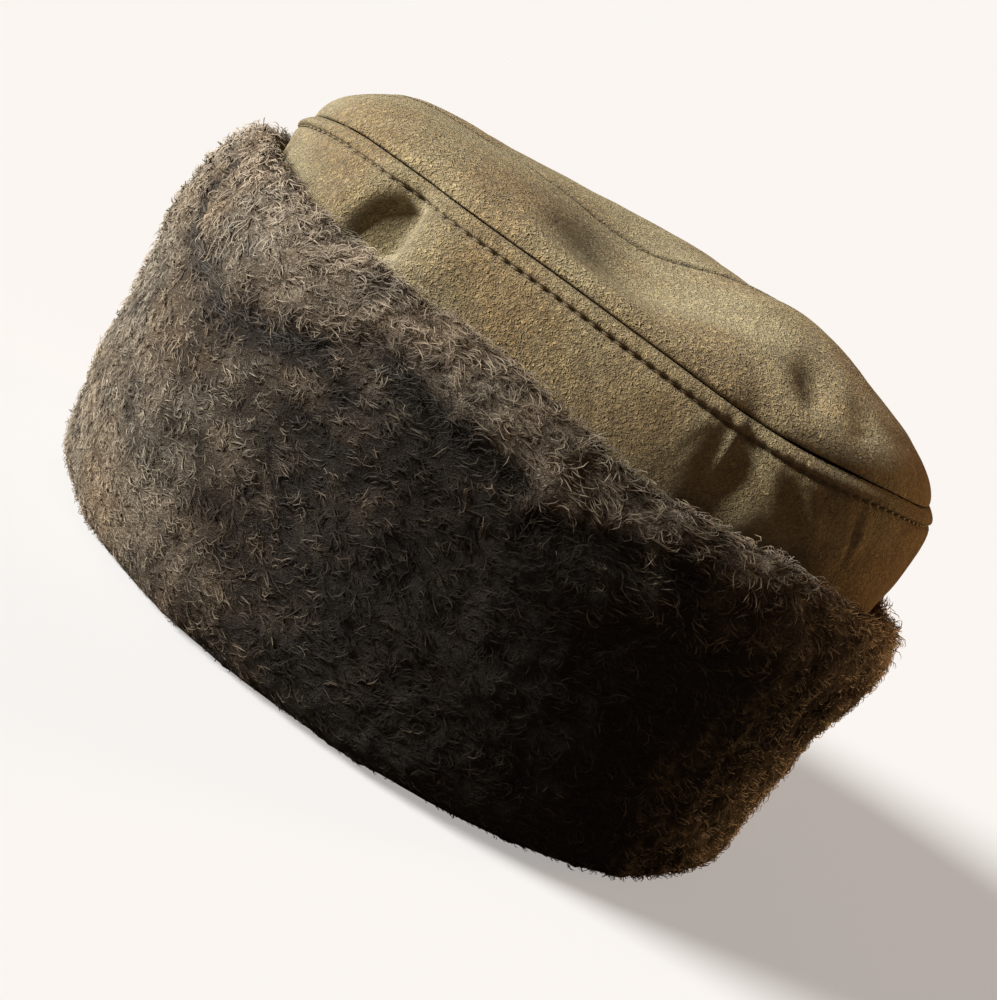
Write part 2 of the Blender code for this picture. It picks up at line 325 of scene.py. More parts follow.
def turn_between(a, b):
    """The shorter way round from b to a, in degrees."""
    return (a - b + 180.0) % 360.0 - 180.0


def unit(vectors):
    return vectors / np.maximum(np.linalg.norm(vectors, axis=-1, keepdims=True), 1e-12)


def oval_size(x, y):
    """1 on the oval that reaches 1 along both axes, and less inside it."""
    return (np.abs(x) ** OVAL_POWER + np.abs(y) ** OVAL_POWER) ** (1.0 / OVAL_POWER)


def unit_oval(angle):
    """The points at these angles on that oval."""
    c, s = np.cos(np.radians(angle)), np.sin(np.radians(angle))
    size = oval_size(c, s)
    return c / size, s / size


def oval(angle, out, shift=0.0):
    """The points at these angles on the oval that stands `out` outside the head opening."""
    x, y = unit_oval(angle)
    return shift + (HEAD_LENGTH / 2 + out) * x, (HEAD_WIDTH / 2 + out) * y


def turned(east, north, heading):
    """A place told along and across a line with this heading in degrees."""
    c, s = math.cos(math.radians(heading)), math.sin(math.radians(heading))
    return east * c + north * s, north * c - east * s


def along_path(points):
    """The way along a row of points, from 0 at the first."""
    return np.concatenate([[0.0], np.cumsum(np.linalg.norm(np.diff(points, axis=0), axis=1))])


def seam_height(angle):
    return SEAM_HEIGHT * (1.0 + through(SEAM_WAVE, angle, 360.0))


def side_out(angle, height):
    """How far the side wall's outer face stands outside the head opening at this height."""
    share = np.clip(height / seam_height(angle), 0.0, 1.0)
    upper = np.where(share > 0.5, np.sin(np.pi * share) ** 2, 2.0 * share)
    shifted = share - through(SWELL_SHIFT, angle, 360.0) * upper
    reach = through(SEAM_REACH, angle, 360.0)
    swell = through(SIDE_SECTION, shifted) + reach * bell(share - 1.0, SEAM_SPREAD)
    for fold, half_turn, depth, middle, half_height in SIDE_FOLDS:
        swell = swell - depth * bell(turn_between(angle, fold), half_turn) * bell(share - middle, half_height)
    return SUEDE + BAND_BULGE * swell


def lean(height):
    share = np.clip(height / SEAM_HEIGHT, 0.0, 1.0)
    return CROWN_LEAN * share * share * (3.0 - 2.0 * share)


def top_rise(along, across):
    """Height of the top's outer face over its seam, at shares of its half length and half width."""
    radius = oval_size(along, across)
    inside = np.maximum(1.0 - radius**4, 0.0)
    rise = inside ** (0.6 - 0.20 * smooth_step(-0.45, -0.95, along))
    for x, y, length, width, height in TOP_FORMS:
        form = height * bell(along - x, length) * bell(across - y, width)
        rise = rise + form * np.minimum(1.0, 2.0 * inside)
    return TOP_RISE * rise - CENTRE_DIP * bell(across, 0.09) * np.minimum(1.0, 3.0 * inside)


def crest_height(angle):
    return CUFF_HEIGHT * through(CUFF_CREST, angle, 360.0)


def cuff_point(angle, height, reach):
    """Points of the wool's outline: reach 0 lies on the crown, 1 stands PILE_DEPTH outside its foot."""
    face = side_out(angle, height) + GAP
    share = np.minimum(height / CUFF_HEIGHT, 1.0)
    fullness = through(FOOT_FULLNESS, angle, 360.0) * bell(share, FOOT_SPREAD)
    full = SUEDE + PILE_DEPTH * (1.0 + fullness)
    inner_shift = lean(height)
    outer_shift = CUFF_LEAN * (1.0 - share) + inner_shift * share
    shift = inner_shift + (outer_shift - inner_shift) * np.minimum(reach, 1.0)
    x, y = oval(angle, face + (full - face) * reach, shift)
    return np.stack([x, y, height + 0.0 * x], axis=-1)


def section_place(share):
    """Height and reach at these shares of the way from the foot over the crest, and the way's length."""
    rows = np.array(CUFF_SECTION)
    lengths = along_path(rows * (CUFF_HEIGHT, PILE_DEPTH))
    at = share * lengths[-1]
    heights = through(list(zip(lengths, rows[:, 0])), at)
    reaches = through(list(zip(lengths, rows[:, 1])), at)
    return heights, reaches, lengths[-1]


def hat_middle():
    """Where the opening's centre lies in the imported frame, from the crown wall's own box."""
    angles = np.arange(88) * 360.0 / 88
    lows, highs = [], []
    for cut in (0.22, 0.48, 0.68, 0.78, 0.86, 0.93):
        height = cut * seam_height(angles)
        x, y = oval(angles, side_out(angles, height), lean(height))
        lows.append((x.min(), y.min()))
        highs.append((x.max(), y.max()))
    low, high = np.array(lows).min(0), np.array(highs).max(0)
    box_low, box_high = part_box("crown_side")
    x = (box_low.x + box_high.x - low[0] - high[0]) / 2
    y = (box_low.y + box_high.y - low[1] - high[1]) / 2
    return np.array([x, y, 0.0])


MIDDLE = hat_middle()

# The way along the seam, so that stitches and rings can be set at equal distances
SEAM_ANGLES = np.linspace(-180.0, 180.0, 2881)
SEAM_WAY = along_path(np.stack(oval(SEAM_ANGLES, SUEDE + 0.8 * BAND_BULGE), axis=-1))
SEAM_LENGTH = SEAM_WAY[-1]


def angle_at(share):
    """The angle at these shares of the way round the seam."""
    return np.interp((share % 1.0) * SEAM_LENGTH, SEAM_WAY, SEAM_ANGLES)


def way_at(angle):
    return np.interp(turn_between(angle, 0.0), SEAM_ANGLES, SEAM_WAY)


class SuedeSettings(bpy.types.PropertyGroup):
    colour: FloatVectorProperty(
        name="Suede", description="Colour of the napped face, in linear light", subtype="COLOR",
        default=tuple(frame["record"]["materials"][0]["base_color"]), min=0.0, max=1.0,
    )
    dark: FloatVectorProperty(
        name="Brushed dark", description="Colour where the nap lies the other way", subtype="COLOR",
        default=(0.112, 0.085, 0.045), min=0.0, max=1.0,
    )
    nap: FloatProperty(
        name="Nap size", description="Width of one tuft of the nap", unit="LENGTH",
        default=0.0011, min=0.0003,
    )
    pitch: FloatProperty(
        name="Stitch pitch", description="From one stitch to the next", unit="LENGTH",
        default=0.0042, min=0.002,
    )
    thread: FloatVectorProperty(
        name="Thread", description="Colour of the sewing thread", subtype="COLOR",
        default=(0.110, 0.083, 0.046), min=0.0, max=1.0,
    )


class WoolSettings(bpy.types.PropertyGroup):
    root: FloatVectorProperty(
        name="Wool root", description="Colour at the skin", subtype="COLOR",
        default=(0.085, 0.059, 0.038), min=0.0, max=1.0,
    )
    tip: FloatVectorProperty(
        name="Wool tip", description="Colour of the hairs' weathered ends", subtype="COLOR",
        default=(0.385, 0.340, 0.268), min=0.0, max=1.0,
    )
    length: FloatProperty(
        name="Hair length", description="Length of a hair that shows", unit="LENGTH",
        default=0.0047, min=0.002,
    )
    width: FloatProperty(
        name="Hair width", description="Width of a hair at its middle", unit="LENGTH",
        default=0.00026, min=0.0001,
    )
    tuft: FloatProperty(
        name="Tuft size", description="Width of the tufts that hairs gather in", unit="LENGTH",
        default=0.0038,
    )


class StageSettings(bpy.types.PropertyGroup):
    azimuth: FloatProperty(
        name="Azimuth", description="Camera's turn round the hat", subtype="ANGLE", default=0.0
    )
    elevation: FloatProperty(
        name="Elevation",
        description="Camera's height over the floor",
        subtype="ANGLE",
        default=math.radians(13.5),
    )
    distance: FloatProperty(name="Distance", description="Camera to aim", unit="LENGTH", default=0.520)
    aim: FloatVectorProperty(
        name="Aim", description="Point that the camera looks at", subtype="XYZ", default=(0.0028, 0.0, 0.058)
    )
    roll: FloatProperty(
        name="Roll", description="Camera's own turn", subtype="ANGLE", default=math.radians(33.0)
    )
    lens: FloatProperty(name="Lens", description="Focal length in millimetres", default=57.4)


def settings():
    scene = bpy.context.scene
    return scene.hat_suede, scene.hat_wool, scene.hat_stage


def colour4(value):
    return (value[0], value[1], value[2], 1.0)


def feed(tree, socket, value):
    """Feeds an input from a socket, or sets it to a number or a colour."""
    if hasattr(value, "is_linked"):
        tree.links.new(value, socket)
    elif isinstance(value, (int, float)):
        socket.default_value = value
    else:
        socket.default_value = colour4(value)


def node(tree, kind, **values):
    """A node with its properties, and its inputs by name with underscores for spaces."""
    made = tree.nodes.new(kind)
    for name, value in values.items():
        if hasattr(made, name):
            setattr(made, name, value)
        else:
            feed(tree, made.inputs[name.replace("_", " ")], value)
    return made


def mixed(tree, share, a, b, kind="MIX"):
    """Colour a mixed with b; each is a socket or a colour, and share a socket or a number."""
    made = node(tree, "ShaderNodeMix", data_type="RGBA", blend_type=kind)
    for place, value in ((0, share), (6, a), (7, b)):
        feed(tree, made.inputs[place], value)
    return made.outputs[2]


def maths(tree, kind, *values, clamp=False):
    made = node(tree, "ShaderNodeMath", operation=kind, use_clamp=clamp)
    for socket, value in zip(made.inputs, values):
        feed(tree, socket, value)
    return made.outputs[0]


def cloud(tree, places, scale, detail=3.0, roughness=0.55, distortion=0.0):
    """Noise at these places; scale is a socket or a number."""
    made = node(tree, "ShaderNodeTexNoise", Vector=places, Scale=scale, Detail=detail)
    made.inputs["Roughness"].default_value = roughness
    made.inputs["Distortion"].default_value = distortion
    return made.outputs["Fac"]


def spread(tree, value, low, high, least=0.0, most=1.0):
    """The value's run from low to high, stretched to run from least to most."""
    made = node(tree, "ShaderNodeMapRange", Value=value, From_Min=low, From_Max=high)
    made.inputs["To Min"].default_value = least
    made.inputs["To Max"].default_value = most
    return made.outputs[0]


def new_group(name, takes, gives):
    """A node group with these sockets (name, kind); returns its tree, its inputs and its outputs."""
    tree = bpy.data.node_groups.new(name, "ShaderNodeTree")
    for way, sockets in (("INPUT", takes), ("OUTPUT", gives)):
        for socket, kind in sockets:
            tree.interface.new_socket(socket, in_out=way, socket_type="NodeSocket" + kind)
    into, out = tree.nodes.new("NodeGroupInput"), tree.nodes.new("NodeGroupOutput")
    return tree, into.outputs[: len(takes)], out.inputs


def fibre_group():
    """Tangled fibres: two layers of thin curved lines, the second finer."""
    takes = (("Places", "Vector"), ("Lines per metre", "Float"))
    tree, (places, lines), out = new_group("Tangled fibres", takes, (("Fibres", "Float"),))
    layers = []
    for scale, thickness in ((1.0, 0.085), (1.7, 0.10)):
        density = maths(tree, "MULTIPLY", lines, scale)
        bent = cloud(tree, places, density, detail=0.8, roughness=0.4, distortion=0.9)
        off = maths(tree, "ABSOLUTE", maths(tree, "SUBTRACT", bent, 0.5))
        layers.append(spread(tree, off, 0.0, thickness, 1.0, 0.0))
    lower = maths(tree, "MULTIPLY", layers[1], 0.75)
    feed(tree, out["Fibres"], maths(tree, "MAXIMUM", layers[0], lower))
    return tree


def fibres(tree, places, lines):
    """The mask of the shared fibres at these places; lines is a socket or a number."""
    group = bpy.data.node_groups.get("Tangled fibres") or fibre_group()
    made = node(tree, "ShaderNodeGroup", node_tree=group, Places=places, Lines_per_metre=lines)
    return made.outputs["Fibres"]


def nap_group():
    """Brushed nap: mottled tufts, strokes that lie another way, and rubbed paler places."""
    takes = (("Places", "Vector"), ("Light", "Color"), ("Dark", "Color"), ("Tufts per metre", "Float"))
    gives = (("Colour", "Color"), ("Height", "Float"), ("Roughness", "Float"))
    tree, (places, light, dark, tufts), out = new_group("Brushed nap", takes, gives)
    lines = fibres(tree, places, maths(tree, "MULTIPLY", tufts, 0.72))
    fine = cloud(tree, places, maths(tree, "MULTIPLY", tufts, 0.8), 2.5, 0.58, 1.1)
    strokes = cloud(tree, places, 70.0, 3.0, 0.6, 1.2)
    patches = cloud(tree, places, 22.0, 2.0)
    sharp = spread(tree, fine, 0.38, 0.62)
    tuft_mask = maths(tree, "MULTIPLY_ADD", lines, 0.45, maths(tree, "MULTIPLY", sharp, 0.55))
    broad = maths(tree, "MULTIPLY_ADD", strokes, 0.55, maths(tree, "MULTIPLY", patches, 0.55))
    broad_mask = spread(tree, broad, 0.38, 0.72)
    raised = maths(tree, "MULTIPLY", tuft_mask, 0.74)
    share = maths(tree, "MULTIPLY_ADD", broad_mask, 0.42, raised, clamp=True)
    tone = mixed(tree, spread(tree, patches, 0.34, 0.62), (1.03, 0.89, 0.72), (0.99, 1.02, 0.99))
    feed(tree, out["Colour"], mixed(tree, 1.0, mixed(tree, share, dark, light), tone, "MULTIPLY"))
    feed(tree, out["Height"], tuft_mask)
    feed(tree, out["Roughness"], maths(tree, "MULTIPLY_ADD", broad_mask, -0.10, 0.97))
    return tree


def wool_group():
    """Wool tones from root to tip, with each hair's own tone and the painted light and shade that its Tone
    carries, and slow patches of ash and rust.
    """
    colours = (("Root", "Color"), ("Tip", "Color"))
    takes = (("Places", "Vector"), *colours, ("Way out", "Float"), ("Tone", "Float"))
    tree, (places, root, tip, way_out, tone), out = new_group("Wool tones", takes, (("Colour", "Color"),))
    lit_up = spread(tree, tone, 0.0, 0.45, 0.40, 1.0)
    eased = maths(tree, "MULTIPLY", maths(tree, "POWER", way_out, 1.25), lit_up)
    lift = spread(tree, tone, 0.0, 1.0, 0.12, 1.40)
    toned = node(tree, "ShaderNodeVectorMath", operation="SCALE", Scale=lift)
    feed(tree, toned.inputs[0], mixed(tree, eased, root, tip))
    patch = spread(tree, cloud(tree, places, 38.0, 2.0), 0.35, 0.68)
    rust = mixed(tree, 1.0, toned.outputs[0], (1.05, 0.95, 0.82), "MULTIPLY")
    ash = mixed(tree, 1.0, toned.outputs[0], (0.99, 1.01, 1.00), "MULTIPLY")
    feed(tree, out["Colour"], mixed(tree, patch, rust, ash))
    return tree


def material(name, **inputs):
    """A new material whose Principled shader has these inputs."""
    made = bpy.data.materials.new(name)
    made.use_nodes = True
    shader = made.node_tree.nodes["Principled BSDF"]
    for socket, value in inputs.items():
        feed(made.node_tree, shader.inputs[socket.replace("_", " ")], value)
    return made, made.node_tree, shader


def own_places(tree):
    """The piece's own coordinates."""
    return node(tree, "ShaderNodeTexCoord").outputs["Object"]


def own_value(tree, name):
    """The number that each of the piece's vertices holds under this name."""
    return node(tree, "ShaderNodeAttribute", attribute_name=name).outputs["Fac"]


def bumped(tree, shader, height, distance, strength):
    bump = node(tree, "ShaderNodeBump", Strength=strength, Distance=distance, Height=height)
    tree.links.new(bump.outputs["Normal"], shader.inputs["Normal"])


def suede_material(name, nap_share):
    """Suede whose tufts are nap_share times the set size."""
    found = bpy.data.materials.get(name)
    if found:
        return found
    suede = settings()[0]
    sheen = {"Sheen_Weight": 0.30, "Sheen_Roughness": 0.45, "Sheen_Tint": (0.95, 0.88, 0.70)}
    made, tree, shader = material(name, Specular_IOR_Level=0.18, **sheen)
    nap = node(
        tree,
        "ShaderNodeGroup",
        node_tree=bpy.data.node_groups.get("Brushed nap") or nap_group(),
        Places=own_places(tree),
        Light=[own * lift for own, lift in zip(suede.colour, NAP_LIFT)],
        Dark=suede.dark,
        Tufts_per_metre=1.0 / (suede.nap * nap_share),
    )
    # Painted shade: along the seams and in the stitched groove the nap is darkened towards this colour,
    # partly pressed nap and partly painted shade
    flat = [PRESSED_NAP_AND_SEAM_SHADE * x for x in suede.dark]
    worn_and_shaded = mixed(tree, own_value(tree, "pressed"), nap.outputs["Colour"], flat)
    feed(tree, shader.inputs["Base Color"], worn_and_shaded)
    feed(tree, shader.inputs["Roughness"], nap.outputs["Roughness"])
    bumped(tree, shader, nap.outputs["Height"], 0.0017, 1.0)
    return made


def thread_material():
    thread = settings()[0].thread
    made, tree, shader = material("sewing_thread", Roughness=0.65, Specular_IOR_Level=0.35)
    twist = cloud(tree, own_places(tree), 2600.0, 1.0)
    feed(tree, shader.inputs["Base Color"], mixed(tree, twist, thread, [2.0 * x for x in thread]))
    bumped(tree, shader, twist, 0.0001, 0.6)
    return made


def wool_tones(tree, shader, places, way_out):
    """Colours a wool shader by how far out it lies and by the piece's own tone."""
    wool = settings()[1]
    tones = node(
        tree,
        "ShaderNodeGroup",
        node_tree=bpy.data.node_groups.get("Wool tones") or wool_group(),
        Places=places,
        Root=wool.root,
        Tip=wool.tip,
        Way_out=way_out,
        Tone=own_value(tree, "tone"),
    )
    feed(tree, shader.inputs["Base Color"], tones.outputs["Colour"])


def hair_material():
    """Hairs read how far along they lie, and their tone with its painted light and shade, from the piece's
    attributes.
    """
    sheen = {"Sheen_Weight": 0.12, "Sheen_Roughness": 0.4, "Sheen_Tint": (0.95, 0.86, 0.74)}
    made, tree, shader = material("wool_hair", Roughness=0.60, Specular_IOR_Level=0.25, **sheen)
    wool_tones(tree, shader, own_places(tree), own_value(tree, "way_out"))
    return made


def backing_material():
    """The wool between and under the single hairs, drawn as streaks along the piece's own map."""
    made, tree, shader = material("wool_backing", Roughness=0.85, Specular_IOR_Level=0.2)
    places = own_places(tree)
    way = node(tree, "ShaderNodeUVMap", uv_map="wool_way")
    stretch = node(tree, "ShaderNodeMapping", vector_type="POINT", Vector=way.outputs["UV"])
    stretch.inputs["Scale"].default_value = (0.45, 1.0, 1.0)
    stretch.inputs["Rotation"].default_value = (0.0, 0.0, math.radians(-24.0))
    coarse = fibres(tree, stretch.outputs["Vector"], 620.0)
    fine = fibres(tree, places, 900.0)
    mat = maths(tree, "MULTIPLY_ADD", coarse, 0.55, maths(tree, "MULTIPLY", fine, 0.45))
    wool_tones(tree, shader, places, mat)
    bumped(tree, shader, mat, 0.0007, 0.9)
    return made


def deselect():
    if bpy.context.mode != "OBJECT":
        bpy.ops.object.mode_set(mode="OBJECT")
    bpy.ops.object.select_all(action="DESELECT")


def named(piece, name):
    piece.name = name
    piece.data.name = name
    return piece


def placed(name, data):
    """A new object of the scene that shows this data."""
    made = bpy.data.objects.new(name, data)
    bpy.context.scene.collection.objects.link(made)
    return made


def vertex_places(piece):
    found = np.empty(len(piece.data.vertices) * 3)
    piece.data.vertices.foreach_get("co", found)
    return found.reshape(-1, 3)


def set_places(piece, points):
    piece.data.vertices.foreach_set("co", np.asarray(points, np.float32).ravel())
    piece.data.update()


def turned_out(piece):
    """Points the closed piece's faces outwards and shades it smooth."""
    bpy.ops.object.mode_set(mode="EDIT")
    bpy.ops.mesh.select_all(action="SELECT")
    bpy.ops.mesh.normals_make_consistent(inside=False)
    bpy.ops.object.mode_set(mode="OBJECT")
    bpy.ops.object.shade_smooth()
    return piece


def extruded_band(name, around, rings):
    """A circle extruded ring by ring, its last ring bridged to its first.

    Returns the piece, and each vertex's ring and its place in that ring.
    """
    deselect()
    step = SEAM_HEIGHT / rings
    bpy.ops.mesh.primitive_circle_add(vertices=around, radius=HEAD_LENGTH / 2)
    piece = named(bpy.context.object, name)
    bpy.ops.object.mode_set(mode="EDIT")
    bpy.ops.mesh.select_all(action="SELECT")
    for _ in range(rings - 1):
        bpy.ops.mesh.extrude_region_move(TRANSFORM_OT_translate={"value": (0.0, 0.0, step)})
    bpy.ops.mesh.select_all(action="DESELECT")
    edit = bmesh.from_edit_mesh(piece.data)
    for edge in edit.edges:
        if edge.is_boundary:
            edge.select_set(True)
    bmesh.update_edit_mesh(piece.data)
    bpy.ops.mesh.bridge_edge_loops()
    bpy.ops.object.mode_set(mode="OBJECT")
    points = vertex_places(piece)
    ring = np.rint(points[:, 2] / step).astype(int)
    place = np.rint(np.arctan2(points[:, 1], points[:, 0]) / (2 * np.pi) * around).astype(int) % around
    return piece, ring, place


def dressed(piece, finish, slot, *nodes):
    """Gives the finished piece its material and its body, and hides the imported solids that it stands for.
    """
    piece.data.materials.clear()
    piece.data.materials.append(finish)
    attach(piece, BODY)
    if nodes:
        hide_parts(*nodes)
    return piece


def uneven(points, scale, seed):
    """Slow noise from -1 to 1 at each point."""
    shift = Vector((seed, 2.0 * seed, 3.0 * seed))
    return np.array([noise.noise(Vector(point) * scale + shift) for point in points])


def side_relief(angle, height, drop):
    """Fine relief of the side wall, outwards: the strip, its sewn groove, puckers and creases."""
    way = way_at(angle)
    phase = np.cos(2 * np.pi * way / stitch_step())
    relief = STRIP_PROUD * smooth_step(STRIP_HEIGHT + 0.0005, STRIP_HEIGHT - 0.0006, drop)
    relief = relief + 0.00055 * bell(drop - 0.52 * STRIP_HEIGHT, 0.0016)
    relief = relief - 0.0011 * bell(drop - STRIP_HEIGHT, 0.00070)
    relief = relief - 0.00026 * (1 + phase) * bell(drop - STRIP_HEIGHT, 0.0014)
    relief = relief - 0.0005 * np.clip(1.0 - drop / 0.0010, 0.0, 1.0) ** 2
    share = height / seam_height(angle)
    for at, level, length, heading, half_width, depth in SIDE_CREASES:
        east = np.radians(turn_between(angle, at)) * SIDE_RADIUS
        down, across = turned(east, (share - level) * SEAM_HEIGHT, heading)
        bend = across + 0.15 * down * down / length
        ridge = 0.35 * bell(bend - 2 * half_width, 1.6 * half_width)
        relief = relief - depth * bell(down, length / 2) * (bell(bend, half_width) - ridge)
    return relief


def give_values(piece, name, values):
    """One number for each vertex, which the piece's material reads."""
    layer = piece.data.attributes.new(name, "FLOAT", "POINT")
    layer.data.foreach_set("value", np.clip(values, 0.0, 1.0).astype(np.float32))


def pressed_and_shaded_line(distance, half_width):
    """How far the nap is pressed flat and painted dark with the seam's shade at this distance from a sewn
    line.
    """
    return 0.85 * bell(distance, half_width)


def stitch_step():
    """The pitch that divides the seam's length into whole stitches."""
    return SEAM_LENGTH / round(SEAM_LENGTH / settings()[0].pitch)


class HAT_OT_suede_side(bpy.types.Operator):
    """Make the suede side wall, with its stitched strip under the seam"""

    bl_idname = "hat.suede_side"
    bl_label = "Suede side"

    def execute(self, context):
        around = 4 * round(SEAM_LENGTH / stitch_step())
        drops = [0.0, 0.0002, 0.0005, 0.0009, 0.0016, 0.0025, 0.0033, 0.0037, 0.0040, 0.0043]
        drops += [0.0046, 0.0050, 0.0056]
        outer = [0.0, 0.20, 0.38, 0.52, 0.62] + list(np.linspace(0.68, 0.945, 23))
        inner = [1.0, 0.93, 0.84, 0.72, 0.55, 0.35, 0.15, 0.0]
        rings = len(outer) + len(drops) + len(inner)
        piece, ring, place = extruded_band("suede_side", around, rings)
        angle = angle_at(place / around)
        seam = seam_height(angle)
        low = CROWN_FOOT
        outer_heights = [low + (seam - low) * share for share in outer]
        strip_heights = [seam - drop for drop in reversed(drops)]
        inner_heights = [low + (seam - low) * share for share in inner]
        table = np.stack(outer_heights + strip_heights + inner_heights)
        height = table[ring, np.arange(len(ring))]
        inside = ring >= len(outer) + len(drops)
        drop = np.maximum(seam - height, 0.0)
        relief = np.where(inside, -SUEDE, side_relief(angle, height, drop))
        x, y = oval(angle, side_out(angle, height) + relief, lean(height))
        points = np.stack([x, y, height], axis=-1)
        out = unit(points * np.array([1.0, 1.0, 0.0]))
        slow = 0.0005 * uneven(points, 38.0, 3.1) + 0.00025 * uneven(points, 120.0, 5.3)
        shown = smooth_step(0.45, 0.70, height / seam)
        points += out * (slow * shown * smooth_step(0.0, 0.008, drop))[:, None]
        set_places(piece, points + MIDDLE)
        turned_out(piece)
        # Pressed nap and painted shade along the seam and in the stitched groove, strongest at each stitch
        sewn = 0.50 + 0.22 * np.cos(2 * np.pi * way_at(angle) / stitch_step())
        pressed = 0.30 * pressed_and_shaded_line(drop, 0.0004) + sewn * pressed_and_shaded_line(drop - STRIP_HEIGHT, 0.0007)
        give_values(piece, "pressed", np.where(inside, 0.0, pressed))
        dressed(piece, suede_material("suede_of_the_side", 1.0), "suede", "crown_side")
        return {"FINISHED"}


def top_place(along, across):
    """Points of the top's outer face at shares of its half length and width, and how far they lie inside."""
    angle = np.degrees(np.arctan2(across, along))
    radius = oval_size(along, across)
    seam = seam_height(angle)
    rim = side_out(angle, seam)
    half_length, half_width = HEAD_LENGTH / 2 + rim, HEAD_WIDTH / 2 + rim
    base = SEAM_HEIGHT + (seam - SEAM_HEIGHT) * radius**6 + GAP
    rise = top_rise(along, across)
    tuck = 0.0004 * np.clip(1.0 - rise / 0.0010, 0.0, 1.0) ** 2
    x = CROWN_LEAN + half_length * along
    y = half_width * across
    shrink = 1.0 - tuck / np.maximum(np.hypot(x, y), 0.01)
    inside = np.clip(rise / 0.006, 0.0, 1.0)
    across_way = np.abs(y)
    relief = -0.0011 * np.clip(1.0 - across_way / 0.0014, 0.0, 1.0) ** 2
    near = np.where(across <= 0, 1.0, 0.0)
    relief = relief + near * 0.0008 * smooth_step(STRIP_HEIGHT + 0.0006, STRIP_HEIGHT - 0.0006, across_way)
    relief = relief - near * 0.0011 * bell(across_way - STRIP_HEIGHT, 0.00085)
    for u, v, length, heading, half, depth in TOP_CREASES:
        down, side = turned(x - CROWN_LEAN - u * half_length, y - v * half_width, heading)
        ridge = 0.3 * bell(side - 2.4 * half, 1.8 * half)
        relief = relief - depth * bell(down, length / 2) * (bell(side, half) - ridge)
    return np.stack([x * shrink, y * shrink, base + rise + relief * inside], axis=-1), inside


class HAT_OT_suede_top(bpy.types.Operator):
    """Make the two halves of the suede top, joined along the middle seam"""

    bl_idname = "hat.suede_top"
    bl_label = "Suede top"

    def half(self, name, way, cad_node):
        columns, rows, seam_rows = 152, 50, 15
        deselect()
        bpy.ops.mesh.primitive_grid_add(x_subdivisions=columns, y_subdivisions=rows, size=1.0)
        piece = named(bpy.context.object, name)
        places = vertex_places(piece)
        along, edge = unit_oval(0.9 + (180.0 - 1.8) * (places[:, 0] + 0.5))
        share = places[:, 1] + 0.5
        first = seam_rows / rows
        half_width = HEAD_WIDTH / 2 + RIM_OUT
        strip = np.minimum(MIDDLE_STRIP / half_width, 0.5 * edge)
        eased = np.sin(np.pi / 2 * np.clip((share - first) / (1.0 - first), 0.0, 1.0))
        across = np.where(share < first, strip * share / first, strip + (edge - strip) * eased)
        across = np.maximum(across, GAP / 2 / half_width)
        points, inside = top_place(along, way * across)
        slow = 0.0006 * uneven(points, 34.0, 7.7) + 0.00025 * uneven(points, 110.0, 1.9)
        points[:, 2] += slow * inside
        set_places(piece, points + MIDDLE)
        turned_out(piece)
        normals = np.empty(len(piece.data.polygons) * 3)
        piece.data.polygons.foreach_get("normal", normals)
        if normals.reshape(-1, 3)[:, 2].sum() < 0:
            piece.data.flip_normals()
        wall = piece.modifiers.new("wall", "SOLIDIFY")
        wall.thickness = SUEDE
        wall.offset = -1.0
        bpy.ops.object.modifier_apply(modifier=wall.name)
        points = vertex_places(piece)
        x, y = points[:, 0] - MIDDLE[0], points[:, 1] - MIDDLE[1]
        rim = seam_height(np.degrees(np.arctan2(y, x)))
        outer_rim = np.hypot(x, y) > 0.08
        points[:, 2] = np.where(outer_rim, np.maximum(points[:, 2], rim + GAP), points[:, 2])
        set_places(piece, points)
        turned_out(piece)
        across_way = np.abs(y)
        # Pressed nap and painted shade along the middle seam, at the rim and beside the near half's stitched
        # row
        pressed = pressed_and_shaded_line(across_way, 0.0010) + 0.25 * pressed_and_shaded_line(points[:, 2] - rim - GAP, 0.0004)
        if way < 0:
            pressed += pressed_and_shaded_line(across_way - STRIP_HEIGHT, 0.0011)
        give_values(piece, "pressed", pressed)
        dressed(piece, suede_material("suede_of_the_top", 1.25), "suede", cad_node)

    def execute(self, context):
        self.half("suede_top_near", -1, "top_panel_near")
        self.half("suede_top_far", 1, "top_panel_far")
        return {"FINISHED"}


def stitch_rows(name, centres, ways, outs):
    """One piece with a stitch at each centre, lying along ways and facing outs."""
    deselect()
    bpy.ops.mesh.primitive_uv_sphere_add(segments=6, ring_count=6, radius=0.5)
    model = bpy.context.object
    shape = vertex_places(model)
    faces = [tuple(face.vertices) for face in model.data.polygons]
    bpy.data.objects.remove(model)
    shape = shape[:, [2, 0, 1]]
    ends = np.abs(shape[:, 0]) * 2
    shape = shape * np.array(STITCH)
    shape[:, 2] -= STITCH_DROOP * ends**2
    sides = np.cross(outs, ways)
    points = (
        centres[:, None, :]
        + shape[None, :, 0:1] * ways[:, None, :]
        + shape[None, :, 1:2] * sides[:, None, :]
        + shape[None, :, 2:3] * outs[:, None, :]
    )
    count = len(shape)
    mesh = bpy.data.meshes.new(name)
    all_faces = [tuple(i + k * count for i in face) for k in range(len(centres)) for face in faces]
    mesh.from_pydata(points.reshape(-1, 3).tolist(), [], all_faces)
    piece = placed(name, mesh)
    deselect()
    piece.select_set(True)
    bpy.context.view_layer.objects.active = piece
    return turned_out(piece)


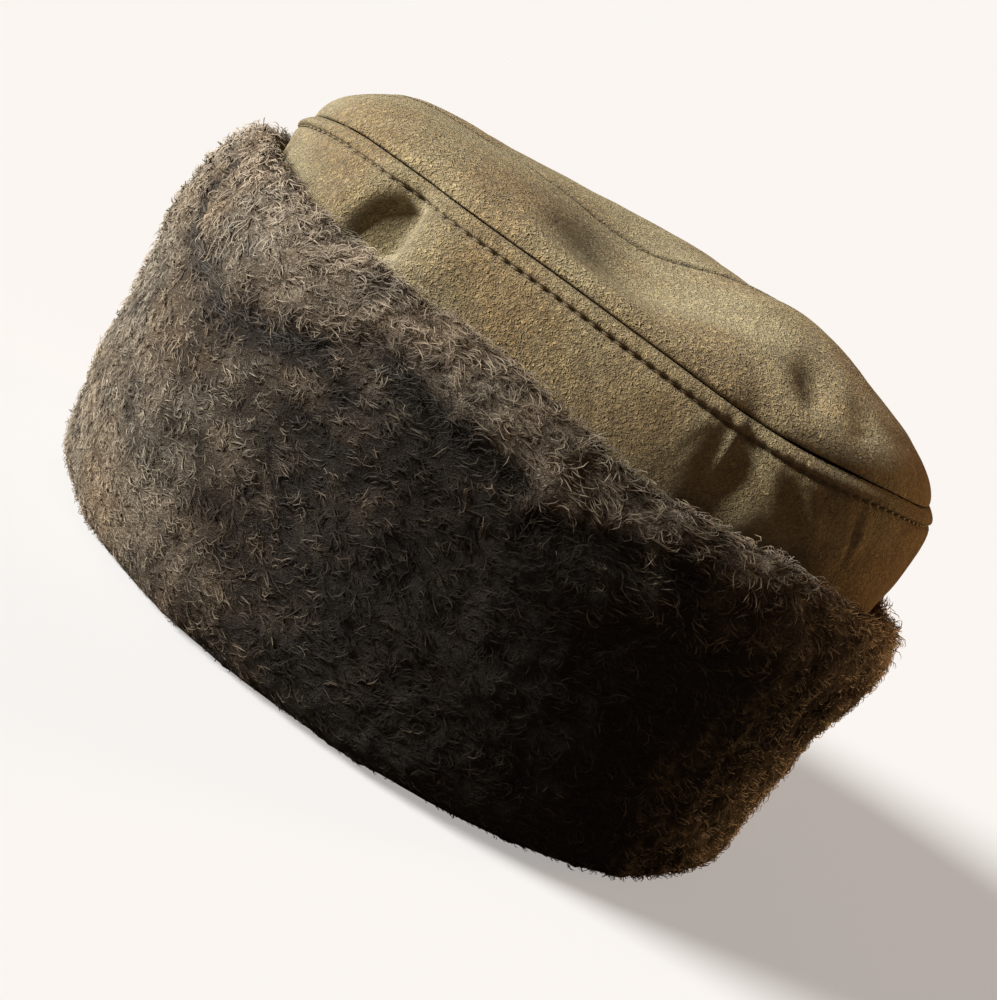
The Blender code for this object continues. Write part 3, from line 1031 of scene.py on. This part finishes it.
class HAT_OT_stitches(bpy.types.Operator):
    """Sew the row of stitches under the seam and the row beside the middle seam"""

    bl_idname = "hat.stitches"
    bl_label = "Stitches"

    def execute(self, context):
        thread = thread_material()
        count = round(SEAM_LENGTH / stitch_step())

        def side_at(share, drop):
            angle = angle_at(share)
            height = seam_height(angle) - drop
            relief = side_relief(angle, height, np.full_like(height, drop))
            x, y = oval(angle, side_out(angle, height) + relief, lean(height))
            return np.stack([x, y, height], axis=-1)

        shares = (np.arange(count) + 0.5) / count
        centre = side_at(shares, STRIP_HEIGHT)
        step = 0.2 / count
        way = unit(side_at(shares + step, STRIP_HEIGHT) - side_at(shares - step, STRIP_HEIGHT))
        out = unit(np.cross(way, np.array([0.0, 0.0, 1.0])))
        centre += STITCH_PROUD * out + MIDDLE
        dressed(stitch_rows("seam_stitches", centre, way, out), thread, "suede")

        aside = -STRIP_HEIGHT / (HEAD_WIDTH / 2 + RIM_OUT)
        line = np.linspace(-0.93, 0.93, 900)
        lengths = along_path(top_place(line, np.full_like(line, aside))[0])
        at = np.arange(stitch_step() / 2, lengths[-1], stitch_step())
        along = np.interp(at, lengths, line)
        across = np.full_like(along, aside)
        centre, _ = top_place(along, across)
        way = unit(top_place(along + 0.003, across)[0] - top_place(along - 0.003, across)[0])
        side = unit(top_place(along, across + 0.02)[0] - top_place(along, across - 0.02)[0])
        out = unit(np.cross(way, side))
        centre += STITCH_PROUD * out + MIDDLE
        dressed(stitch_rows("top_stitches", centre, way, out), thread, "suede")
        return {"FINISHED"}


def wool_sheet(angles, shares):
    """The wool's outline on a grid (share, angle): points, the ways round and up, and the way out."""

    def at(turn, share):
        height, reach, _ = section_place(np.clip(share, 0.0, 1.0))
        crest = crest_height(turn)[None, :]
        return cuff_point(turn[None, :], height[:, None] * crest, reach[:, None] + 0.0 * crest)

    step = 0.004
    up = unit(at(angles, shares + step) - at(angles, shares - step))
    round_way = unit(at(angles + 0.5, shares) - at(angles - 0.5, shares))
    out = unit(np.cross(round_way, up))
    return at(angles, shares), round_way, unit(np.cross(out, round_way)), out


def wool_sink(share):
    """How far the backing lies under the wool's outline."""
    return WOOL_SINK * smooth_step(0.0, 0.06, share) * smooth_step(1.0, 0.90, share)


class HAT_OT_wool_backing(bpy.types.Operator):
    """Make the cuff's dense wool that the single hairs stand in"""

    bl_idname = "hat.wool_backing"
    bl_label = "Wool backing"

    def execute(self, context):
        around, outer, inner = 460, 74, 4
        piece, ring, place = extruded_band("wool_backing", around, outer + inner)
        angles = np.arange(around) * 360.0 / around
        shares = np.linspace(0.0, 1.0, outer)
        points, _, _, out = wool_sheet(angles, shares)
        sink = wool_sink(shares)[:, None]
        flat = points.reshape(-1, 3)
        lumps = uneven(flat, 210.0, 4.4) * 0.0008 + uneven(flat, 480.0, 6.5) * 0.0007
        spots = np.stack(np.broadcast_arrays(angles[None, :], shares[:, None]), axis=-1).reshape(-1, 2)
        swell = (lumps + wool_forms(flat, spots)).reshape(sink.shape[0], around)
        points = points + out * (-sink + swell * smooth_step(0.0, 0.001, sink))[:, :, None]
        points[0, :, 2] = 0.0
        points[:, :, 2] = np.maximum(points[:, :, 2], 0.0)
        lip = section_place(np.array([1.0]))[0][0]
        levels = lip * (1.0 - np.arange(1, inner + 1) / inner)
        back = [cuff_point(angles, level * crest_height(angles), 0.0 * angles) for level in levels]
        table = np.concatenate([points, np.stack(back)])
        set_places(piece, table[ring, place] + MIDDLE)
        self.lay_map(piece, ring, place, around)
        level = np.where(ring < outer, ring / (outer - 1), 1.0)
        spots = np.stack([angles[place], level], axis=-1)
        # The backing's tone: random, with the wool's painted light and shade added
        tone = 0.30 + 0.28 * uneven(table[ring, place], 120.0, 3.3) + wool_painted_light_and_shade(spots, table[ring, place])
        give_values(piece, "tone", tone)
        turned_out(piece)
        dressed(piece, backing_material(), "sheepskin", "fur_cuff")
        return {"FINISHED"}

    def lay_map(self, piece, ring, place, around):
        """A map in metres round and up the wool, for its streaks."""
        layer = piece.data.uv_layers.new(name="wool_way")
        corners = np.empty(len(piece.data.loops), int)
        piece.data.loops.foreach_get("vertex_index", corners)
        turn = (place[corners] / around).reshape(-1, 4)
        wraps = np.ptp(turn, axis=1, keepdims=True) > 0.5
        turn = np.where(wraps & (turn < 0.5), turn + 1.0, turn).ravel()
        places = np.stack([turn * WOOL_GIRTH, ring[corners] * MAP_ROW], axis=-1)
        layer.data.foreach_set("uv", places.astype(np.float32).ravel())


def roots_at(spacing, chance):
    """Staggered places over the wool, one for about each spacing squared: (angle, share)."""
    length = section_place(np.array([0.0]))[2]
    rows = int(length / spacing)
    found = []
    for row in range(rows):
        share = (row + 0.5) / rows
        height, reach, _ = section_place(np.array([share]))
        turn = np.arange(0.0, 360.0, 6.0)
        ring = cuff_point(turn, height * crest_height(turn), reach + 0.0 * turn)
        girth = np.linalg.norm(np.roll(ring, -1, axis=0) - ring, axis=1).sum()
        count = int(girth / spacing)
        k = np.arange(count) + chance.uniform(-0.5, 0.5, count) + 0.5 * (row % 2)
        shift = chance.uniform(-0.5, 0.5, count)
        found.append(np.stack([k * 360.0 / count - 180.0, share + shift / rows], axis=-1))
    places = np.concatenate(found)
    return places[(places[:, 1] > 0.015) & (places[:, 1] < 0.995)]


def wool_painted_light_and_shade(places, points):
    """Painted light and shade on the wool's tone at each (angle, share): painted light at the front, on the
    crest and low at the near side's front, painted shade low on the near side and in the partings.
    """
    angle, share = places[:, 0], places[:, 1] + 0.07 * uneven(points, 46.0, 2.9)
    # Painted light: paler at the front end, which faces the key light, on the crest, and low at the near
    # side's front; less on the crest where it turns away from the light
    crest = 0.24 - 0.18 * bell(turn_between(angle, -66.0), 26.0)
    front = 0.25 * bell(turn_between(angle, -175.0), 60.0)
    painted_light = front * (1.0 - 0.75 * bell(share - 0.82, 0.14)) + crest * bell(share - 0.84, 0.16)
    painted_light = painted_light + 0.26 * bell(turn_between(angle, -125.0), 24.0) * bell(share - 0.14, 0.12)
    # Painted shade: darker low on the near side, which faces away from the key light, and in the partings
    # between the locks
    painted_shade = 0.58 * bell(turn_between(angle, -76.0), 50.0) * smooth_step(0.84, 0.52, share)
    return painted_light - painted_shade - 0.30 * parting(places)


def parting(places):
    """How much of a parting lies at each (angle, share), from 0 to 1."""
    length = section_place(np.array([1.0]))[2]
    metres = np.array([np.radians(1.0) * WOOL_RADIUS, length])
    found = np.zeros(len(places))
    for strength, run in WOOL_PARTINGS:
        for start, end in zip(run, run[1:]):
            start, end = np.array(start, float), np.array(end, float)
            way = (end - start) * metres
            off = np.stack([turn_between(places[:, 0], start[0]), places[:, 1] - start[1]], axis=-1) * metres
            share = np.clip((off @ way) / (way @ way), 0.0, 1.0)
            apart = np.linalg.norm(off - share[:, None] * way, axis=1)
            found = np.maximum(found, strength * bell(apart, PARTING_WIDTH))
    return found


def wool_forms(points, places):
    """Soft locks and partings that the wool's surface rises and falls by, in metres."""
    locks = 0.0010 * uneven(points, 42.0, 2.2) + 0.0009 * uneven(points, 95.0, 5.1)
    shoulder = 0.0028 * bell(turn_between(places[:, 0], -172.0), 24.0) * bell(places[:, 1] - 0.64, 0.17)
    locks = locks * (1.0 + bell(places[:, 1] - 0.80, 0.10))
    return shoulder + locks - PARTING_DEPTH * parting(places) - 0.0002


class WoolField:
    """The wool's outline sampled finely, so that hairs can look up their place and ways."""

    def __init__(self):
        self.around, self.along = 720, 180
        angles = np.arange(self.around) * 360.0 / self.around - 180.0
        shares = np.linspace(0.0, 1.0, self.along)
        self.layers = wool_sheet(angles, shares)
        self.length = section_place(np.array([1.0]))[2]

    def moved(self, places, along, rise):
        """Places moved by (round, up) in metres over the wool."""
        reach = np.linalg.norm(self.at(places)[0][:, :2], axis=1)
        degrees = along[:, 0] / np.radians(1.0) / np.maximum(reach, 0.03)
        shifted = np.stack([places[:, 0] + degrees, places[:, 1] + along[:, 1] / self.length], axis=-1)
        point, _, _, out = self.at(shifted)
        return point + out * rise[:, None]

    def at(self, places):
        """Points, the ways round and up, and the way out at (angle, share)."""
        u = ((places[:, 0] + 180.0) % 360.0) / 360.0 * self.around
        v = np.clip(places[:, 1], 0.0, 1.0) * (self.along - 1)
        i, j = u.astype(int) % self.around, np.minimum(v.astype(int), self.along - 2)
        fu, fv = (u - np.floor(u))[:, None], (v - j)[:, None]
        next_i = (i + 1) % self.around
        found = []
        for layer in self.layers:
            low = layer[j, i] * (1 - fu) + layer[j, next_i] * fu
            high = layer[j + 1, i] * (1 - fu) + layer[j + 1, next_i] * fu
            found.append(low * (1 - fv) + high * fv)
        return found[0], unit(found[1]), unit(found[2]), unit(found[3])


def outside_crown(points):
    """Moves points that lie inside the crown's wall out to its face."""
    x, y, z = points[..., 0] - MIDDLE[0], points[..., 1] - MIDDLE[1], points[..., 2]
    x = x - lean(z)
    angle = np.degrees(np.arctan2(y / HEAD_WIDTH, x / HEAD_LENGTH))
    face = side_out(angle, z) + 0.0004
    a, b = HEAD_LENGTH / 2 + face, HEAD_WIDTH / 2 + face
    radius = oval_size(x / a, y / b)
    grow = np.where((radius < 1.0) & (z < seam_height(angle) + 0.004), 1.0 / np.maximum(radius, 0.2), 1.0)
    moved = points.copy()
    moved[..., 0] = x * grow + lean(z) + MIDDLE[0]
    moved[..., 1] = y * grow + MIDDLE[1]
    return moved


class HAT_OT_wool_hairs(bpy.types.Operator):
    """Grow the cuff's curled hairs, gathered in tufts, in layers of four pieces round the hat"""

    bl_idname = "hat.wool_hairs"
    bl_label = "Wool hairs"
    seed: IntProperty(name="Seed", description="Another draw of the hairs", default=11)

    def tufts(self, field, wool, chance):
        """A search tree of the tufts, and each one's root, heading, curl, lift and tone."""
        places = roots_at(wool.tuft, chance)
        point = field.at(places)[0]
        count = len(places)
        slow = uneven(point, 24.0, 8.8)
        quick = uneven(point, 85.0, 6.1)
        heading = through(WOOL_FLOW, places[:, 0], 360.0) + 60.0 * slow + 60.0 * quick
        heading += chance.normal(0.0, 48.0, count)
        curl = chance.normal(0.0, 130.0, count)
        lift = chance.uniform(0.0, 1.0, count) ** 2
        tone = 0.5 + 0.6 * uneven(point, 120.0, 3.3) + chance.normal(0.0, 0.18, count)
        tone = np.clip(tone, 0.0, 1.0)
        tree = kdtree.KDTree(count)
        for k, place in enumerate(point):
            tree.insert(place, k)
        tree.balance()
        return tree, point, heading, curl, lift, tone

    def grow(self, field, tufts, layer, wool, chance):
        """One layer of hairs: their lines, the ways out, widths, tones and places."""
        segments, spacing, length, reach, height, depth, shift = layer
        tree, tuft_point, tuft_heading, tuft_curl, tuft_lift, tuft_tone = tufts
        places = roots_at(spacing, chance)
        point, around, up, out = field.at(places)
        found = [tree.find(place)[1:] for place in point]
        nearest = np.array([k for k, _ in found])
        between = np.clip(np.array([apart for _, apart in found]) / (0.62 * wool.tuft), 0.0, 1.0) ** 2
        count = len(places)
        share = places[:, 1]
        crest = bell(share - 0.84, 0.09)
        heading = np.radians(tuft_heading[nearest] + chance.normal(0.0, 22.0, count))
        curl = np.radians(tuft_curl[nearest] + chance.normal(0.0, 50.0, count))
        long = wool.length * length * chance.uniform(0.65, 1.30, count)
        long = long * (0.60 + 0.40 * smooth_step(0.02, 0.16, share)) * (1.0 + 0.35 * crest * height)
        sink = wool_sink(share)
        top = chance.uniform(-0.0004, 0.0007, count) * (0.5 + 0.5 * height)
        top = top + 0.0022 * crest * height * chance.uniform(0.0, 1.0, count) ** 3
        at = np.linspace(0.0, 1.0, segments + 1)
        rise = (top + depth)[:, None] - (sink + 0.0006 + depth)[:, None] * ((1.0 - at) ** 2)[None, :]
        rise = rise - 0.0005 * (at**4)[None, :]
        lock = 0.0020 * tuft_lift[nearest] * crest * (1.0 - between) - 0.0009 * between
        rise[:, 1:] += (wool_forms(point, places) + lock)[:, None]
        pull = (tuft_point[nearest] - point) * 0.36
        pull = np.stack([(pull * around).sum(1), (pull * up).sum(1)], axis=-1)
        along = np.zeros((count, 2))
        stops = []
        for k in range(segments + 1):
            if k:
                way = heading + curl * (at[k] - 0.5)
                ahead = np.stack([np.cos(way), np.sin(way)], axis=-1)
                along = along + (reach * long / segments)[:, None] * ahead
            stops.append(field.moved(places, along + at[k] * pull, rise[:, k]))
        line = outside_crown(np.stack(stops, axis=1) + MIDDLE)
        line[..., 2] = np.maximum(line[..., 2], 0.0006)
        own = chance.uniform(0.0, 1.0, count)
        # Painted shade: hairs in the gaps between tufts are made darker; the wool's painted light and shade
        # are added to the tone below
        tone = 0.45 * tuft_tone[nearest] + 0.28 * own - 0.26 * between + 0.06
        tone = np.clip(tone + wool_painted_light_and_shade(places, point) + shift, 0.0, 1.0)
        width = wool.width * chance.uniform(0.7, 1.3, count)
        return line, out, width, tone, places

    def execute(self, context):
        wool = settings()[1]
        chance = np.random.default_rng(self.seed)
        field = WoolField()
        tufts = self.tufts(field, wool, chance)
        finish = hair_material()
        for layer in WOOL_LAYERS:
            line, out, width, tone, places = self.grow(field, tufts, layer[1:], wool, chance)
            quarter = (((places[:, 0] + 180.0) % 360.0) / 90.0).astype(int)
            for k, side in enumerate(("near_front", "near_back", "far_back", "far_front")):
                mine = quarter == k
                piece = hair_piece(f"{layer[0]}_{side}", line[mine], out[mine], width[mine], tone[mine])
                dressed(piece, finish, "sheepskin")
        return {"FINISHED"}


def hair_piece(name, line, out, width, tone):
    """Three-sided tapered hairs along these lines, each a closed body, as one piece."""
    count, stops = line.shape[0], line.shape[1]
    ahead = np.empty_like(line)
    ahead[:, 1:-1] = line[:, 2:] - line[:, :-2]
    ahead[:, 0] = line[:, 1] - line[:, 0]
    ahead[:, -1] = line[:, -1] - line[:, -2]
    ahead = unit(ahead)
    wide = unit(np.cross(out[:, None] + 0.0 * ahead, ahead))
    high = unit(np.cross(ahead, wide))
    levels = np.arange(stops - 1) / (stops - 1)
    taper = np.interp(levels, (0.0, 0.4, 0.8), (0.8, 1.0, 0.7))[None] * width[:, None] / 2
    corners = []
    for turn in (90.0, 210.0, 330.0):
        c, s = math.cos(math.radians(turn)), math.sin(math.radians(turn))
        corners.append(line[:, :-1] + taper[..., None] * (1.3 * c * wide[:, :-1] + 0.9 * s * high[:, :-1]))
    rings = np.stack(corners, axis=2)
    each = 3 * (stops - 1) + 1
    points = np.concatenate([rings.reshape(count, -1, 3), line[:, -1:]], axis=1)

    quads, tips = [], []
    for k in range(stops - 2):
        for s in range(3):
            t = (s + 1) % 3
            quads.append((3 * k + s, 3 * k + t, 3 * (k + 1) + t, 3 * (k + 1) + s))
    last = 3 * (stops - 2)
    for s in range(3):
        tips.append((last + s, last + (s + 1) % 3, each - 1))
    caps = [(2, 1, 0)]
    first = (np.arange(count) * each)[:, None, None]
    four = (first + np.array(quads)[None]).reshape(-1, 4)
    three = (first + np.array(tips + caps)[None]).reshape(-1, 3)
    corner_list = np.concatenate([four.ravel(), three.ravel()]).astype(np.int32)
    starts = np.concatenate([np.arange(len(four)) * 4, four.size + np.arange(len(three)) * 3])
    starts = starts.astype(np.int32)

    mesh = bpy.data.meshes.new(name)
    mesh.vertices.add(count * each)
    mesh.vertices.foreach_set("co", points.astype(np.float32).ravel())
    mesh.loops.add(len(corner_list))
    mesh.loops.foreach_set("vertex_index", corner_list)
    mesh.polygons.add(len(starts))
    mesh.polygons.foreach_set("loop_start", starts)
    mesh.update(calc_edges=True)
    mesh.validate()
    mesh.polygons.foreach_set("use_smooth", np.ones(len(starts), bool))

    way_out = np.tile(np.concatenate([np.repeat(levels, 3), [1.0]]), count)
    for label, values in (("way_out", way_out), ("tone", np.repeat(tone, each))):
        layer = mesh.attributes.new(label, "FLOAT", "POINT")
        layer.data.foreach_set("value", values.astype(np.float32))
    lay_hair_map(mesh, count, stops - 1)
    ends = line[:, -1:] - 0.0002 * ahead[:, -1:]
    own = unit(points - np.concatenate([np.repeat(line[:, :-1], 3, axis=1), ends], axis=1))
    soft = unit(0.35 * own + 0.65 * out[:, None])
    mesh.normals_split_custom_set_from_vertices(soft.reshape(-1, 3).tolist())

    return placed(name, mesh)


def lay_hair_map(mesh, count, rows):
    """Gives each hair its own cell of the map, root at the bottom and tip at the top."""
    across = math.ceil(math.sqrt(count))
    cell = 1.0 / across
    hair = np.arange(count)
    corner = np.stack([(hair % across) * cell, (hair // across) * cell], axis=-1)
    levels = [0.08 + 0.84 * k / rows for k in range(rows)]
    four = []
    for low, high in zip(levels, levels[1:]):
        four += [[(0.1, low), (0.9, low), (0.9, high), (0.1, high)]] * 3
    low = levels[-1]
    three = [[(0.1, low), (0.9, low), (0.5, 0.92)]] * 3 + [[(0.1, 0.08), (0.9, 0.08), (0.5, 0.2)]]
    uv_four = corner[:, None, None] + np.array(four)[None] * cell
    uv_three = corner[:, None, None] + np.array(three)[None] * cell
    places = np.concatenate([uv_four.reshape(-1, 2), uv_three.reshape(-1, 2)])
    layer = mesh.uv_layers.new(name="OFBake")
    layer.data.foreach_set("uv", places.astype(np.float32).ravel())


def sunlight(name, energy, colour, towards, width):
    """An even light that shines towards a direction, as wide as this angle in degrees."""
    made = bpy.data.lights.new(name, "SUN")
    made.energy = energy
    made.color = colour
    made.angle = math.radians(width)
    holder = placed(name, made)
    holder.rotation_euler = Vector(towards).to_track_quat("-Z", "Y").to_euler()


def from_way(azimuth, elevation):
    """The unit vector towards a place at this azimuth and elevation, in degrees, as seen from the hat."""
    a, e = math.radians(azimuth), math.radians(elevation)
    return Vector((math.cos(a) * math.cos(e), math.sin(a) * math.cos(e), math.sin(e)))


def lit_floor():
    """The floor's colour out in the open, which the world takes over behind its edge."""
    key = KEY * math.sin(math.radians(KEY_WAY[1])) / math.pi
    kick = KICK * math.sin(math.radians(KICK_WAY[1])) / math.pi
    parts = zip(FLOOR, KEY_COLOUR, KICK_COLOUR, FILL_COLOUR)
    return [f * (key * k + kick * c + FILL * w) for f, k, c, w in parts]


def show_camera(tree, seen, others, output):
    """Shows one shader to the camera and another to every other ray."""
    rays = node(tree, "ShaderNodeLightPath")
    choose = node(tree, "ShaderNodeMixShader", Fac=rays.outputs["Is Camera Ray"])
    tree.links.new(others.outputs[0], choose.inputs[1])
    tree.links.new(seen.outputs[0], choose.inputs[2])
    tree.links.new(choose.outputs[0], tree.nodes[output].inputs["Surface"])


class HAT_OT_stage(bpy.types.Operator):
    """Lay the pale floor, hang the lights and set the camera"""

    bl_idname = "hat.stage"
    bl_label = "Stage"

    def floor(self):
        deselect()
        bpy.ops.mesh.primitive_circle_add(vertices=96, radius=30.0, fill_type="NGON")
        piece = named(bpy.context.object, "floor")
        even = {"Base_Color": FLOOR, "Roughness": 1.0, "Specular_IOR_Level": 0.0}
        finish, tree, shader = material("pale_floor", **even)
        bounce = node(tree, "ShaderNodeBsdfDiffuse", Color=FLOOR_BOUNCE)
        glow = node(tree, "ShaderNodeEmission", Color=lit_floor())
        pale = node(tree, "ShaderNodeMixShader", Fac=FLOOR_GLOW)
        tree.links.new(shader.outputs[0], pale.inputs[1])
        tree.links.new(glow.outputs[0], pale.inputs[2])
        show_camera(tree, pale, bounce, "Material Output")
        piece.data.materials.append(finish)

    def lights(self):
        sunlight("key", KEY, KEY_COLOUR, -from_way(*KEY_WAY), 20.0)
        sunlight("kicker", KICK, KICK_COLOUR, -from_way(*KICK_WAY), 15.0)
        world = bpy.data.worlds.new("studio")
        world.use_nodes = True
        bpy.context.scene.world = world
        tree = world.node_tree
        fill = tree.nodes["Background"]
        feed(tree, fill.inputs["Color"], FILL_COLOUR)
        feed(tree, fill.inputs["Strength"], FILL)
        seen = node(tree, "ShaderNodeBackground", Color=lit_floor())
        show_camera(tree, seen, fill, "World Output")

    def camera(self, stage):
        back = from_way(math.degrees(stage.azimuth) - 90.0, math.degrees(stage.elevation))
        eye = bpy.data.cameras.new("camera")
        eye.lens = stage.lens
        eye.clip_start = 0.01
        holder = placed("camera", eye)
        holder.location = Vector(stage.aim) + stage.distance * back
        upright = (-back).to_track_quat("-Z", "Y").to_matrix().to_4x4()
        turned = upright @ Matrix.Rotation(stage.roll, 4, "Z")
        holder.rotation_euler = turned.to_euler()
        bpy.context.scene.camera = holder

    def execute(self, context):
        self.floor()
        self.lights()
        self.camera(settings()[2])
        context.scene.view_settings.view_transform = "Standard"
        return {"FINISHED"}


class HAT_PT_maker(bpy.types.Panel):
    bl_idname = "HAT_PT_maker"
    bl_label = "Cossack hat"
    bl_space_type = "VIEW_3D"
    bl_region_type = "UI"
    bl_category = "Hat"

    def draw(self, context):
        scene = context.scene
        for title, group, makers in (
            ("Suede", scene.hat_suede, (HAT_OT_suede_side, HAT_OT_suede_top, HAT_OT_stitches)),
            ("Wool", scene.hat_wool, (HAT_OT_wool_backing, HAT_OT_wool_hairs)),
            ("Stage", scene.hat_stage, (HAT_OT_stage,)),
        ):
            box = self.layout.box()
            box.label(text=title)
            for name in group.__annotations__:
                box.prop(group, name)
            for maker in makers:
                box.operator(maker.bl_idname)


MAKERS = (
    HAT_OT_suede_side,
    HAT_OT_suede_top,
    HAT_OT_stitches,
    HAT_OT_wool_backing,
    HAT_OT_wool_hairs,
    HAT_OT_stage,
)
CLASSES = (SuedeSettings, WoolSettings, StageSettings, *MAKERS, HAT_PT_maker)


def register():
    for each in CLASSES:
        bpy.utils.register_class(each)
    bpy.types.Scene.hat_suede = PointerProperty(type=SuedeSettings)
    bpy.types.Scene.hat_wool = PointerProperty(type=WoolSettings)
    bpy.types.Scene.hat_stage = PointerProperty(type=StageSettings)


def unregister():
    del bpy.types.Scene.hat_suede, bpy.types.Scene.hat_wool, bpy.types.Scene.hat_stage
    for each in reversed(CLASSES):
        bpy.utils.unregister_class(each)


def main():
    register()
    for maker in MAKERS:
        getattr(bpy.ops.hat, maker.bl_idname.split(".")[1])()
    deselect()


if __name__ == "__main__":
    main()
